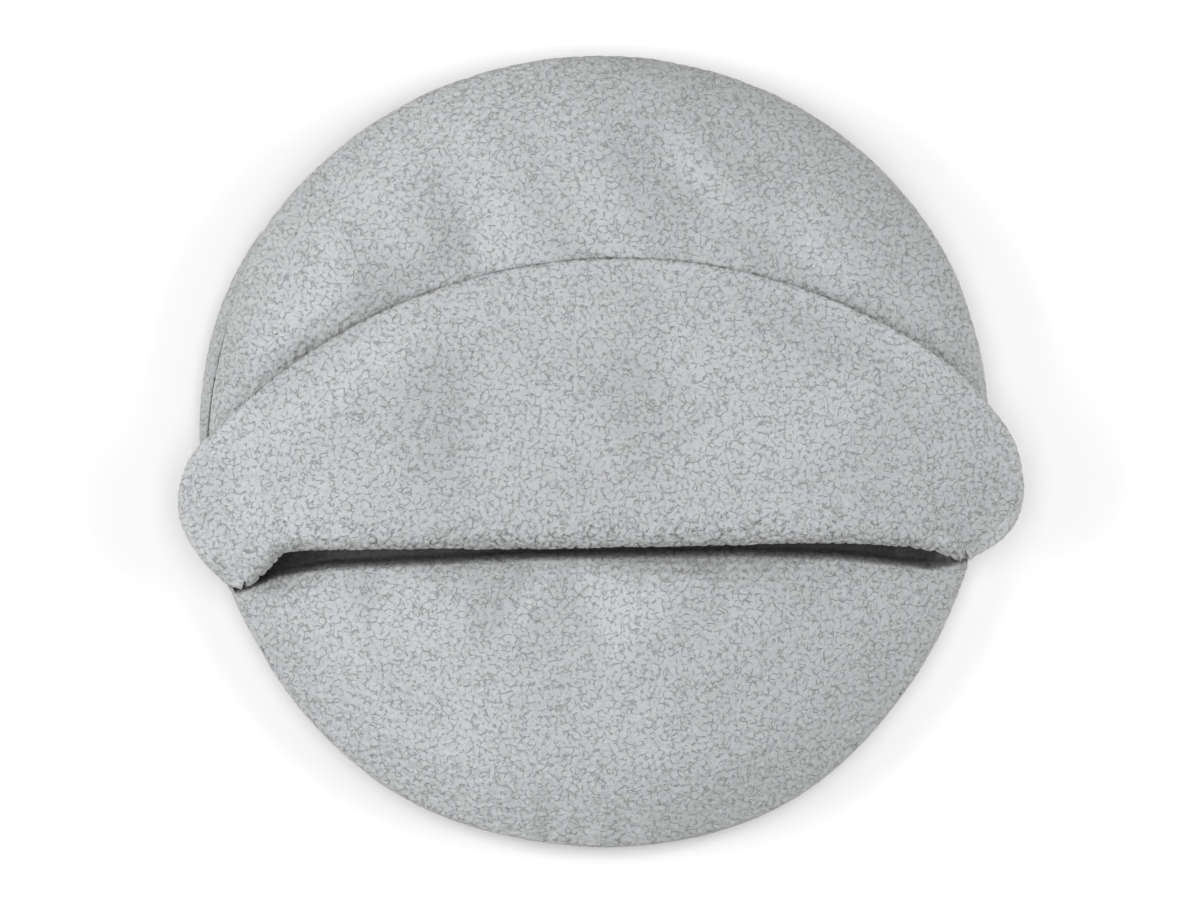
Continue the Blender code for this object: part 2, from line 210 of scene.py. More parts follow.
def inset_line(line, inset):
    """A line in plan, moved to its left by inset, or to its right where inset is below zero."""
    ahead = np.gradient(line, axis=0)
    ahead /= np.linalg.norm(ahead, axis=1)[:, None]
    if np.ndim(inset):
        inset = inset[:, None]
    return line + np.stack([-ahead[:, 1], ahead[:, 0]], axis=1) * inset


def walked(points):
    """Distance along a line to each of its points."""
    return np.concatenate([[0.0], np.cumsum(np.linalg.norm(np.diff(points, axis=0), axis=1))])


def evenly(points, step):
    """A line through the points, resampled at even steps along its length."""
    along = walked(points)
    count = max(2, int(round(along[-1] / step)) + 1)
    wanted = np.linspace(0.0, along[-1], count)
    return np.stack([np.interp(wanted, along, axis) for axis in points.T], axis=1)


def from_ends(count, step):
    """Distance to the nearer end of a line of count points at even steps."""
    return np.minimum(np.arange(count), np.arange(count)[::-1]) * step


def rounded(points, times):
    """Cuts the corners of an open line, keeping its ends."""
    for _ in range(times):
        near = 0.75 * points[:-1] + 0.25 * points[1:]
        far = 0.25 * points[:-1] + 0.75 * points[1:]
        middle = np.stack([near, far], axis=1).reshape(-1, points.shape[1])
        points = np.concatenate([points[:1], middle, points[-1:]])
    return points


def rows_between(low, high, fine_from, fine_to):
    """Row positions from low to high, close together between fine_from and fine_to."""
    parts = []
    for start, end, step in ((low, fine_from, COARSE), (fine_from, fine_to, FINE), (fine_to, high, COARSE)):
        if end - start > 1e-6:
            parts.append(np.linspace(start, end, max(1, round((end - start) / step)) + 1))
    return np.unique(np.concatenate(parts).round(7))


def nearest_on_line(points, line):
    """The nearest point of a closed line to each of the points."""
    start = line
    run = np.roll(line, -1, axis=0) - line
    length = np.maximum((run**2).sum(axis=1), 1e-12)
    found = np.empty_like(points)
    for index, point in enumerate(points):
        share = np.clip(((point - start) * run).sum(axis=1) / length, 0.0, 1.0)
        foot = start + run * share[:, None]
        found[index] = foot[((foot - point) ** 2).sum(axis=1).argmin()]
    return found


def cut_pattern(outline, columns, rows):
    """Cells of a grid that lie inside a closed outline, with the outer ones pulled onto it."""
    centre_x = (columns[1:] + columns[:-1]) / 2
    inside = np.zeros((len(rows) - 1, len(columns) - 1), bool)
    ahead = np.roll(outline, -1, axis=0)
    for index, height in enumerate((rows[1:] + rows[:-1]) / 2):
        crosses = (outline[:, 1] > height) != (ahead[:, 1] > height)
        a, b = outline[crosses], ahead[crosses]
        places = np.sort(a[:, 0] + (height - a[:, 1]) / (b[:, 1] - a[:, 1]) * (b[:, 0] - a[:, 0]))
        inside[index] = np.searchsorted(places, centre_x) % 2 == 1
    row, column = np.nonzero(inside)
    wide = len(columns)
    corner = row * wide + column
    corners = np.stack([corner, corner + 1, corner + wide + 1, corner + wide], axis=1)
    used, faces = np.unique(corners, return_inverse=True)
    faces = faces.reshape(-1, 4)
    points = np.stack([columns[used % wide], rows[used // wide]], axis=1)
    edge = np.bincount(faces.ravel(), minlength=len(points)) < 4
    points[edge] = nearest_on_line(points[edge], outline)
    return points, faces


# --- making pieces ---
def new_object(name, data):
    made = bpy.data.objects.new(name, data)
    bpy.context.scene.collection.objects.link(made)
    return made


def add_mesh(name, points, faces, material, slot, crease=None, painted_light_shade=None):
    mesh = bpy.data.meshes.new(name)
    mesh.from_pydata(points.tolist(), [], faces.tolist())
    mesh.validate()
    mesh.shade_smooth()
    mesh.materials.append(material)
    # the second attribute carries painted light and shade
    for label, values in (("crease", crease), ("painted_light_shade", painted_light_shade)):
        layer = mesh.attributes.new(label, "FLOAT", "POINT")
        if values is not None:
            layer.data.foreach_set("value", values.astype(np.float32))
    piece = new_object(name, mesh)
    return piece


def on_base(piece, node):
    """The piece stays with the base and stands in its CAD node's place."""
    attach(piece, "base")
    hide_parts(node)


def circle(count):
    """Angles spaced evenly round a full turn."""
    return np.linspace(0.0, 2 * math.pi, count, endpoint=False)


def polar(radius, turn, height):
    """Places round the bed's axis."""
    return np.stack([radius * np.cos(turn), radius * np.sin(turn), height], axis=1)


def normals_of(surface, pattern):
    """Unit normals of a surface, which maps flat pattern points to places."""
    step = 0.0006
    across, along = np.array([step, 0.0]), np.array([0.0, step])
    run = surface(pattern + across) - surface(pattern - across)
    rise = surface(pattern + along) - surface(pattern - along)
    normal = np.cross(run, rise)
    return normal / np.maximum(np.linalg.norm(normal, axis=1), 1e-12)[:, None]


def slope_light_shade(normals):
    """Painted light and shade by slope: a little lighter where the surface faces left, towards the stronger
    light, and darker where it is steep.
    """
    faces_left = -np.clip(normals[:, 0], -SLOPE_LIGHT_LIMIT, 0.5 * SLOPE_LIGHT_LIMIT)
    return 0.9 * faces_left - 0.5 * np.clip(1.0 - normals[:, 2], 0.0, 0.14)


def piled_sheet(
    name, pattern, faces, surface, material, side=1.0, size=CURL, height=CURL_HEIGHT, shade=0.0
):
    """A sheet of pile fabric, with painted light and shade by slope, and darker by shade, a painted shade.
    side is -1 where the pile is on the face that looks down.
    """
    places = surface(pattern)
    normals = normals_of(surface, pattern)
    raised, crease = pile(pattern, size, 1.0)
    raised = raised * (height(pattern) if callable(height) else height)
    places = places + normals * (side * raised)[:, None]
    # painted light and shade: lighter on slopes facing left, darker on steep ones, and darker still by the
    # given painted shade
    painted_light_shade = slope_light_shade(normals * side) - shade
    if side < 0:
        faces = faces[:, ::-1]
    return add_mesh(name, places, faces, material, "sherpa", crease, painted_light_shade)


def frame_along(path, up):
    """Unit sideways and upward directions at each point of a path."""
    ahead = np.gradient(path, axis=0)
    ahead /= np.linalg.norm(ahead, axis=1)[:, None]
    sideways = np.cross(ahead, np.array(up))
    sideways /= np.linalg.norm(sideways, axis=1)[:, None]
    return sideways, np.cross(sideways, ahead)


def tube(path, up, widths, heights, sides, squareness=2.0):
    """Places, outward directions and faces of a tube round a path, oval or squarish in section."""
    across, upward = (direction[:, None, :] for direction in frame_along(path, up))
    cosine, sine = np.cos(circle(sides)), np.sin(circle(sides))
    power = 2.0 / squareness
    flat = np.sign(cosine) * np.abs(cosine) ** power
    tall = np.sign(sine) * np.abs(sine) ** power
    wide = across * (flat[:, None] * widths[:, None, None])
    high = upward * (tall[:, None] * heights[:, None, None])
    out = across * cosine[:, None] + upward * sine[:, None]
    places = path[:, None, :] + wide + high
    return places.reshape(-1, 3), out.reshape(-1, 3), grid_faces(len(path), sides, closed=True)


def piled_tube(name, path, up, sizes, sides, material, size=CURL, height=CURL_HEIGHT):
    """A round tube of pile fabric along a path of even steps."""
    places, out, faces = tube(path, up, sizes, sizes, sides)
    round_it = np.tile(sizes.max() * circle(sides), len(path))
    flat = np.stack([np.repeat(walked(path), sides), round_it], axis=1)
    raised, crease = pile(flat, size, height)
    return add_mesh(name, places + out * raised[:, None], faces, material, "sherpa", crease)


def grid_faces(rows, columns, closed=False):
    """Faces of a grid of points stored row by row; closed joins the last column to the first."""
    index = np.arange(rows * columns).reshape(rows, columns)
    following = np.roll(index, -1, axis=1)
    faces = np.stack([index[:-1], following[:-1], following[1:], index[1:]], axis=2)
    if not closed:
        faces = faces[:, :-1]
    return faces.reshape(-1, 4)


# --- materials ---
class Recipe:
    """A node material under construction."""

    def __init__(self, name, roughness, metallic=0.0, sheen=0.0):
        self.material = bpy.data.materials.new(name)
        self.material.use_nodes = True
        self.tree = self.material.node_tree
        self.shader = self.tree.nodes["Principled BSDF"]
        self.shader.inputs["Roughness"].default_value = roughness
        self.shader.inputs["Metallic"].default_value = metallic
        self.shader.inputs["Sheen Weight"].default_value = sheen
        self.shader.inputs["Sheen Roughness"].default_value = 0.6
        self.place = self.node("ShaderNodeTexCoord").outputs["Object"]

    def node(self, kind, inputs=None, **settings):
        """Adds a node with its settings; an input is a number, a colour or the output that feeds it."""
        made = self.tree.nodes.new(kind)
        for key, value in settings.items():
            setattr(made, key, value)
        for key, value in (inputs or {}).items():
            if isinstance(value, bpy.types.NodeSocket):
                self.link(value, made.inputs[key])
            else:
                made.inputs[key].default_value = value
        return made

    def link(self, source, target):
        self.tree.links.new(source, target)

    def noise(self, scale, detail=2.0, roughness=0.5):
        inputs = {"Vector": self.place, "Scale": scale, "Detail": detail, "Roughness": roughness}
        return self.node("ShaderNodeTexNoise", inputs).outputs["Fac"]

    def cells(self, scale):
        inputs = {"Vector": self.place, "Scale": scale}
        return self.node("ShaderNodeTexVoronoi", inputs, feature="F1").outputs["Distance"]

    def thin_creases(self):
        """Fine broken curved lines between the pile's curls, 0 off a line and 1 on it."""
        warp = self.node("ShaderNodeTexNoise", {"Vector": self.place, "Scale": 240.0}).outputs["Color"]
        spread = self.node("ShaderNodeVectorMath", {0: warp, "Scale": 0.0055}, operation="SCALE")
        both = {0: self.place, 1: spread.outputs["Vector"]}
        moved = self.node("ShaderNodeVectorMath", both, operation="ADD").outputs["Vector"]
        inputs = {"Vector": moved, "Scale": 225.0}
        cells = self.node("ShaderNodeTexVoronoi", inputs, feature="DISTANCE_TO_EDGE")
        line = self.band(cells.outputs["Distance"], 0.085, 0.0)
        broken = self.band(self.noise(330.0), 0.40, 0.62)
        return self.maths("MULTIPLY", line, broken)

    def hollow_shade(self):
        """Painted shade from ambient occlusion: dark in deep narrow places, 1 in open ones."""
        nook = self.node("ShaderNodeAmbientOcclusion", {"Distance": 0.045}, samples=4)
        return self.ramp(self.band(nook.outputs["AO"], 0.32, 0.74), 0.02, 1.0)

    def band(self, value, start, end):
        """0 at start and 1 at end, with a soft change between them."""
        inputs = {"Value": value, "From Min": start, "From Max": end}
        made = self.node("ShaderNodeMapRange", inputs, interpolation_type="SMOOTHSTEP")
        return made.outputs["Result"]

    def maths(self, operation, first, second):
        return self.node("ShaderNodeMath", {0: first, 1: second}, operation=operation).outputs["Value"]

    def ramp(self, factor, low, high):
        """Maps 0 to 1 onto low to high."""
        inputs = {"Value": factor, "To Min": low, "To Max": high}
        return self.node("ShaderNodeMapRange", inputs, clamp=False).outputs["Result"]

    def colour(self, colour, *shades):
        """The base colour, multiplied by each shade."""
        total = shades[0]
        for shade in shades[1:]:
            total = self.maths("MULTIPLY", total, shade)
        grey = self.node("ShaderNodeCombineColor", {"Red": total, "Green": total, "Blue": total})
        inputs = {"Factor": 1.0, 6: (*colour, 1.0), 7: grey.outputs["Color"]}
        made = self.node("ShaderNodeMix", inputs, data_type="RGBA", blend_type="MULTIPLY")
        self.link(made.outputs[2], self.shader.inputs["Base Color"])

    def bump(self, height, strength, distance):
        made = self.node("ShaderNodeBump", {"Height": height, "Strength": strength, "Distance": distance})
        self.link(made.outputs["Normal"], self.shader.inputs["Normal"])


def sherpa_material():
    """Grey sherpa: curls with painted shade in their thin creases and a painted highlight on their middles,
    fine fibre, faint clouding, painted light and shade by slope, and painted shade in hollows.
    """
    recipe = Recipe("sherpa_pile", roughness=0.95, sheen=0.2)
    crease = recipe.node("ShaderNodeAttribute", attribute_name="crease").outputs["Fac"]
    painted_light_shade = recipe.node("ShaderNodeAttribute", attribute_name="painted_light_shade").outputs["Fac"]
    thin = recipe.thin_creases()
    nubs = recipe.cells(270.0)
    fibre = recipe.noise(1400.0, 3.0, 0.7)
    cloud = recipe.noise(14.0, 2.0)
    recipe.colour(
        (0.480, 0.488, 0.496),
        # painted shade in the creases between curls
        recipe.ramp(crease, 1.0, 0.94),
        # painted shade along thin broken lines between curls
        recipe.ramp(thin, 1.0, 0.85),
        # painted highlight on each curl's middle, painted shade at its edge
        recipe.ramp(nubs, 1.05, 0.93),
        # painted light and shade from the per-point attribute: slopes facing left lighter, steep ones and the
        # trench under the roll darker
        recipe.ramp(painted_light_shade, 1.0, 2.0),
        recipe.ramp(fibre, 0.90, 1.10),
        recipe.ramp(cloud, 0.95, 1.05),
        # painted shade in hollows, strongest in the trench under the roll
        recipe.hollow_shade(),
    )
    relief = recipe.maths("SUBTRACT", recipe.maths("MULTIPLY", fibre, 0.4), recipe.maths("ADD", thin, nubs))
    recipe.bump(relief, 0.85, 0.0014)
    return recipe.material


def oxford_material():
    """Dark plain weave."""
    recipe = Recipe("base_oxford", roughness=0.8, sheen=0.1)
    weave = []
    for axis in ("X", "Y"):
        inputs = {"Vector": recipe.place, "Scale": 260.0}
        wave = recipe.node("ShaderNodeTexWave", inputs, wave_type="BANDS", bands_direction=axis)
        weave.append(wave.outputs["Fac"])
    crossing = recipe.maths("MAXIMUM", *weave)
    cloud = recipe.noise(30.0)
    recipe.colour((0.2, 0.2, 0.21), recipe.ramp(crossing, 0.6, 1.1), recipe.ramp(cloud, 0.9, 1.1))
    recipe.bump(crossing, 0.5, 0.0003)
    return recipe.material


def rubber_material():
    recipe = Recipe("rubber_dots", roughness=0.55)
    recipe.colour((0.05, 0.05, 0.052), recipe.ramp(recipe.noise(900.0), 0.8, 1.2))
    recipe.bump(recipe.noise(1800.0), 0.2, 0.0001)
    return recipe.material


# Colour, roughness, sheen, noise (scale, detail, roughness), its shades, and its relief (strength, depth).
GRAINED = {
    "insert_liner": ((0.8, 0.8, 0.78), 0.9, 0.1, (350.0, 4.0, 0.8), (0.85, 1.08), (0.4, 0.0004)),
    "fibre_filling": ((0.88, 0.88, 0.86), 1.0, 0.3, (220.0, 6.0, 0.85), (0.75, 1.1), (0.9, 0.002)),
    "zip_tape": ((0.38, 0.39, 0.40), 0.85, 0.15, (1100.0, 1.0), (0.8, 1.12), (0.5, 0.0003)),
    "zip_coil": ((0.42, 0.43, 0.44), 0.42, 0.0, (700.0,), (0.9, 1.08), (0.15, 0.0001)),
}


def grained_material(name):
    """A matt material shaded and raised by one fine noise."""
    colour, roughness, sheen, noise, shades, relief = GRAINED[name]
    recipe = Recipe(name, roughness=roughness, sheen=sheen)
    grain = recipe.noise(*noise)
    recipe.colour(colour, recipe.ramp(grain, *shades))
    recipe.bump(grain, *relief)
    return recipe.material


def metal_material():
    recipe = Recipe("zip_metal", roughness=0.32, metallic=1.0)
    scratch = recipe.noise(900.0, 4.0, 0.7)
    recipe.colour((0.62, 0.62, 0.63), recipe.ramp(scratch, 0.85, 1.08))
    recipe.link(recipe.ramp(scratch, 0.22, 0.42), recipe.shader.inputs["Roughness"])
    recipe.bump(scratch, 0.1, 0.0001)
    return recipe.material


def floor_material():
    recipe = Recipe("floor", roughness=0.7)
    recipe.colour((0.93, 0.93, 0.93), recipe.ramp(recipe.noise(3.0), 0.99, 1.0))
    return recipe.material


# --- shapes ---
def bump_at(value, middle, width):
    return np.exp(-(((value - middle) / width) ** 2))


def span(degrees, first, last, fade):
    """1 between two directions and 0 outside them, with a soft change."""
    middle, half = (first + last) / 2, (last - first) / 2
    off = np.abs((degrees - middle + 180.0) % 360.0 - 180.0)
    return 1.0 - smooth(half - fade / 2, half + fade / 2, off)


class Dome:
    """A round profile, walked outward from its middle to its seam."""

    def __init__(self, radius, seam, top, power, root):
        share = np.sin(np.linspace(0.0, math.pi / 2, 500)) ** 0.5
        self.radius = radius * share
        self.height = seam + (top - seam) * np.maximum(0.0, 1.0 - share**power) ** root
        run = np.hypot(np.diff(self.radius), np.diff(self.height))
        self.along = np.concatenate([[0.0], np.cumsum(run)])
        self.reach = float(self.along[-1])

    def at(self, along):
        along = np.minimum(along, self.reach)
        return np.interp(along, self.along, self.radius), np.interp(along, self.along, self.height)

    def flat(self, places):
        """Flat pattern points for places in plan."""
        radius = np.hypot(places[:, 0], places[:, 1])
        return places * (np.interp(radius, self.radius, self.along) / radius)[:, None]

    def over(self, x, y):
        return np.interp(np.hypot(x, y), self.radius, self.height)


HOOD = Dome(SEAM_RADIUS, HOOD_SEAM, HOOD_TOP, 6.0, 0.5)
PANEL = Dome(SEAM_RADIUS, SEAM_HEIGHT, 0.0640, 2.9, 0.58)


def side_radius(angle):
    """How far the bed's side reaches in a direction, for angles in radians."""
    degrees = np.degrees(angle) % 360.0
    spread = [np.interp((degrees + step) % 360.0, *SIDE_OUTLINE.T) for step in (-4, 0, 4)]
    return sum(spread) / 3000.0


def in_front(angle):
    """1 where the panel's seam shows in front of the mouth, and 0 under the hood."""
    return span(np.degrees(angle), 200.0, 345.0, 10.0)


def panel_seam_radius(angle):
    """Where the sleeping panel's seam runs: out at the side in front, further in under the hood."""
    front = in_front(angle)
    return SEAM_RADIUS - 0.0005 + (side_radius(angle) - 0.0008 - SEAM_RADIUS + 0.0005) * front


def sink_under_roll(x, y):
    """How far the cushion sinks below its crown near the mouth and under the hood."""
    start = np.interp(x, SINK_LINE[:, 0], SINK_LINE[:, 1])
    depth = np.interp(x, SINK_LINE[:, 0], SINK_LINE[:, 2])
    past = y - start
    sunk = depth * smooth(-0.0015, 0.0065, past)
    return sunk * (1.0 - 0.7 * smooth(0.014, 0.060, past))


def crown_swell(x, y, radius):
    """Slow rises and dips of the stuffed cushion."""
    swell = 0.0016 * bump_at(y, -0.100, 0.030) * bump_at(x, 0.0, 0.17)
    swell -= 0.0030 * bump_at(x, -0.120, 0.070) * bump_at(y, -0.165, 0.045)
    waves = 0.0005 * np.sin(x * 62.0 + 2.0 * np.sin(y * 30.0)) * np.sin(y * 48.0)
    return (swell + waves) * (1.0 - (radius / SEAM_RADIUS) ** 6)


def panel_surface(pattern):
    angle = np.arctan2(pattern[:, 1], pattern[:, 0])
    radius, height = PANEL.at(np.hypot(pattern[:, 0], pattern[:, 1]))
    rim = (radius / SEAM_RADIUS) ** 5
    grow = radius + (panel_seam_radius(angle) - SEAM_RADIUS) * rim
    x, y = grow * np.cos(angle), grow * np.sin(angle)
    front = in_front(angle)
    pucker = (0.0006 - 0.0004 * front) * np.sin(angle * 61.0 + 2.0 * np.sin(angle * 7.0))
    pucker = pucker * smooth(SEAM_RADIUS - 0.025, SEAM_RADIUS - 0.004, radius)
    drop = FRONT_SEAM_DROP * rim * front + sink_under_roll(x, y)
    return np.stack([x, y, height + pucker - drop + crown_swell(x, y, radius)], axis=1)


def hood_folds(x, y):
    """Soft hills and valleys in the hood's cloth."""
    left = bump_at(line_distance(x, y, LEFT_VALLEY), 0.0, 0.016)
    right = bump_at(line_distance(x, y, RIGHT_VALLEY), 0.0, 0.016)
    lobes = 0.0035 * bump_at(x, -0.165, 0.05) * bump_at(y, 0.125, 0.05)
    lobes += 0.0030 * bump_at(x, 0.170, 0.05) * bump_at(y, 0.145, 0.04)
    lobes += 0.0026 * bump_at(x, 0.0, 0.06) * bump_at(y, 0.160, 0.03)
    waves = 0.0007 * np.sin(x * 95.0 + y * 40.0) * bump_at(y, 0.13, 0.09)
    return lobes + waves - 0.0042 * left - 0.0024 * right


def hood_surface(pattern, depth=0.0):
    """The hood's outer face over its flat pattern, or a layer depth metres inside it."""
    angle = np.arctan2(pattern[:, 1], pattern[:, 0])
    radius, height = HOOD.at(np.hypot(pattern[:, 0], pattern[:, 1]))
    share = np.clip((height - HOOD_SEAM) / (HOOD_TOP - HOOD_SEAM), 0.0, 1.0)
    wall = np.sin(math.pi * share**0.8) ** 0.8 * (radius / SEAM_RADIUS) ** 8
    tight = span(np.degrees(angle), 156.0, 214.0, 26.0)
    loose = side_radius(angle) - SEAM_RADIUS + 0.0004
    bulge = wall * (loose * (1.0 - tight) - 0.0004 * tight)
    grow = radius + bulge - 0.0008 - depth * smooth(0.14, 0.235, radius)
    x, y = grow * np.cos(angle), grow * np.sin(angle)
    fade = smooth(SEAM_RADIUS, SEAM_RADIUS - 0.035, radius)
    settled = height - depth * smooth(HOOD_SEAM, HOOD_SEAM + 0.02, height)
    return np.stack([x, y, settled + hood_folds(x, y) * fade], axis=1)


def line_distance(x, y, line):
    """Distance from points to an open line in plan."""
    best = np.full(len(x), 9.0)
    for (ax, ay), (bx, by) in zip(line, line[1:]):
        run = np.array([bx - ax, by - ay])
        share = np.clip(((x - ax) * run[0] + (y - ay) * run[1]) / (run @ run), 0.0, 1.0)
        best = np.minimum(best, np.hypot(x - ax - run[0] * share, y - ay - run[1] * share))
    return best


def in_place(points):
    """Outline points of the flap and roll, brought from the front view into plan."""
    placed = points.copy()
    placed[:, :2] *= FLAP_SHRINK
    placed[:, 1] += FLAP_SHIFT
    return placed


def roll_path(step):
    """The roll's middle line as x, y, z and radius, at even steps from left to right."""
    line = evenly(rounded(in_place(ROLL_LINE), 3), step)
    height = HOOD.over(line[:, 0], line[:, 1]) - 0.0004
    return np.column_stack([line[:, 0], line[:, 1], height, line[:, 2]])


ROLL = roll_path(0.004)


def roll_feet(x, y):
    """For points in plan: signed distance past the roll's middle line, the nearest place on it
    as x, y, z and radius, and the direction away from it."""
    best = np.full(len(x), 9.0)
    feet = np.zeros((len(x), 4))
    sign = np.ones(len(x))
    for start, end in zip(ROLL, ROLL[1:]):
        run = end - start
        dx, dy = x - start[0], y - start[1]
        share = np.clip((dx * run[0] + dy * run[1]) / (run[0] ** 2 + run[1] ** 2), 0.0, 1.0)
        gap = np.hypot(dx - run[0] * share, dy - run[1] * share)
        nearer = gap < best
        best = np.where(nearer, gap, best)
        feet[nearer] = start + run * share[nearer, None]
        sign = np.where(nearer, np.where(run[0] * dy - run[1] * dx > 0, -1.0, 1.0), sign)
    away = np.stack([x, y], axis=1) - feet[:, :2]
    away /= np.maximum(best, 1e-9)[:, None]
    return best * sign, feet, away


WAVE_BLUR = np.linspace(-0.012, 0.012, 7)


def free_edge(step, inset=0.0):
    """The flap's free edge in plan, from the right ear's tip round to the left ear's."""
    line = in_place(np.concatenate([RIGHT_EAR, arc_points(FREE_ARC, 50), LEFT_EAR]))
    return evenly(inset_line(evenly(rounded(line, 2), 0.002), inset), step)


EDGE = free_edge(0.006)


def flap_waves(x, y):
    """The flap's slow ridges and dips, which run from its root to its free edge."""
    leaning = x + 0.06 * (y + 0.02) * np.sin(x * 22.0)
    spread = [np.interp(leaning + step, FLAP_WAVES[:, 0], FLAP_WAVES[:, 1]) for step in WAVE_BLUR]
    return sum(spread) / len(WAVE_BLUR) * (0.5 + 0.5 * smooth(0.12, 0.02, y))


def over_roll(x, y, nearest):
    """Height of the cloth over the roll, averaged along it around places in plan."""
    near_by = 0.009**2 + (0.5 * nearest) ** 2
    total, weights = np.zeros(len(x)), np.zeros(len(x))
    for place_x, place_y, height, radius in ROLL:
        gap = (x - place_x) ** 2 + (y - place_y) ** 2 - nearest**2
        weight = np.exp(-gap / (2.0 * near_by))
        total += weight * (height + radius + OFF_ROLL)
        weights += weight
    return total / weights


def flap_top(x, y):
    """Height of the flap's upper face in plan, before it bends over the roll."""
    radius = np.hypot(x, y)
    droop = 0.0135 * smooth(0.205, 0.262, radius) * smooth(0.030, -0.060, y)
    cover = FLAP_HEIGHT - 0.0115 * (radius / 0.27) ** 4 - droop
    wave = flap_waves(x, y)
    wave += 0.0006 * np.sin(y * 75.0 + 3.0 * np.sin(x * 18.0))
    edge = line_distance(x, y, EDGE)
    lies = smooth(0.042, 0.004, edge) * smooth(0.225, 0.150, radius)
    low = HOOD.over(x, y) + 0.0052
    height = cover + wave
    height = height + (np.minimum(low, height) - height) * lies
    nearest = np.abs(roll_feet(x, y)[0])
    return height + (over_roll(x, y, nearest) - height) * smooth(0.055, 0.003, nearest)


def flap_surface(pattern):
    """The flap's upper face: laid on the hood, and bent down over the roll at its root."""
    x, y = pattern[:, 0], pattern[:, 1]
    past, feet, away = roll_feet(x, y)
    edge = line_distance(x, y, EDGE)
    groove = 0.0002 * bump_at(edge, HEM_WIDTH, 0.0009)
    top = flap_top(x, y) - groove
    reach = feet[:, 3] + OFF_ROLL
    turn = np.clip(past / reach, 0.0, 2.1)
    out = reach * np.sin(turn)
    crest = over_roll(feet[:, 0], feet[:, 1], np.zeros(len(x))) - reach
    bent = np.column_stack([feet[:, :2] + away * out[:, None], crest + reach * np.cos(turn)])
    flat = np.column_stack([x, y, top])
    return np.where((past > 0)[:, None], bent, flat)


def root_line():
    """Where the flap's upper sheet ends, round the front of the roll, from left to right."""
    line = roll_path(0.003)
    reach = line[:, 3] + OFF_ROLL
    limit = 1.45 + 0.30 * smooth(0.205, 0.185, np.abs(line[:, 0]))
    return inset_line(line[:, :2], -reach * limit)[1:-1]


def declare_sheet(piece, node, pattern, faces, held, rests_on):
    """Hides the CAD node that the cloth piece stands in for."""
    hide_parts(node)


def build_flap(sherpa):
    """The flap's two faces and its hem."""
    outline = np.concatenate([free_edge(0.002, HEM_WIDTH - 0.0001), root_line()])
    cut = cut_pattern(outline, np.arange(-0.275, 0.2760, FINE), np.arange(-0.100, 0.125, FINE))
    lining = piled_sheet("flap_lining", *cut, flap_surface, sherpa, height=pile_at_root)
    declare_sheet(lining, "flap_lining_layer", *cut, "laid", ["flap_outer_layer", "mouth_roll"])

    back = np.array([(x, y + r + 0.001) for x, y, _, r in roll_path(0.003)])
    outline = np.concatenate([free_edge(0.002, HEM_WIDTH - 0.0005), back[2:-2]])
    cut = cut_pattern(outline, np.arange(-0.275, 0.2770, UNSEEN), np.arange(-0.100, 0.126, UNSEEN))
    outer = piled_sheet("flap_outer", *cut, flap_underside, sherpa, -1.0, COARSE_CURL, 0.0005)
    declare_sheet(outer, "flap_outer_layer", *cut, "laid", ["hood_outer_layer"])
    for piece in (lining, outer, build_hem(sherpa)):
        bend_with_flap(piece)


def bend_with_flap(piece):
    """Bakes the piece's transform into its mesh."""
    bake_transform(piece)


def pile_at_root(pattern):
    """The pile stands up where the cloth bends over the roll."""
    past, _, _ = roll_feet(pattern[:, 0], pattern[:, 1])
    return CURL_HEIGHT * (1.0 + 1.1 * smooth(-0.016, 0.002, past))


def flap_underside(pattern):
    x, y = pattern[:, 0], pattern[:, 1]
    edge = line_distance(x, y, EDGE)
    thick = HEM_THICK + 0.0038 * smooth(0.004, 0.020, edge)
    return np.column_stack([x, y, flap_top(x, y) - thick])


def build_hem(sherpa):
    """The turned edge: it carries on from the upper face, round the edge and in underneath."""
    edge = free_edge(FINE)
    count = len(edge)
    from_end = from_ends(count, FINE)
    thick = HEM_THICK * (0.35 + 0.65 * smooth(0.0, 0.012, from_end))
    round_in = 0.0030
    walk = np.linspace(0.0, 1.0, 22)
    ring = np.interp(walk, [0.0, 0.33, 0.67, 1.0], [-1.0, 0.0, math.pi, math.pi + 1.0])
    turned = np.clip(ring, 0.0, math.pi)
    inset = np.where(ring < 0, round_in - ring * (HEM_WIDTH - round_in), round_in * (1.0 - np.sin(turned)))
    inset = np.where(ring > math.pi, round_in + (ring - math.pi) * (HEM_WIDTH - round_in), inset)
    fall = (1.0 - np.cos(turned)) / 2.0
    normal = inset_line(edge, 1.0) - edge
    plan = edge + normal * inset[:, None, None]
    flat_x, flat_y = plan[:, :, 0].ravel(), plan[:, :, 1].ravel()
    groove = 0.0002 * bump_at(np.repeat(inset, count), HEM_WIDTH, 0.0009)
    height = flap_top(flat_x, flat_y) - groove - (fall[:, None] * thick).ravel()
    places = np.column_stack([flat_x, flat_y, height])
    unrolled = np.where(ring <= 0, inset, round_in - ring * 0.0027)
    flat = (edge + normal * unrolled[:, None, None]).reshape(-1, 2)
    raised, crease = pile(flat)
    outward = (-normal * np.sin(turned)[:, None, None]).reshape(-1, 2)
    out = np.column_stack([outward, np.repeat(np.cos(turned), count)])
    faces = grid_faces(len(ring), count)
    # painted light and shade by slope, as on the flap's upper face
    painted_light_shade = slope_light_shade(normals_of(flap_surface, np.column_stack([flat_x, flat_y])))
    hem = add_mesh("flap_hem_band", places + out * raised[:, None], faces, sherpa, "sherpa", crease, painted_light_shade)
    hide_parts("flap_hem")
    return hem


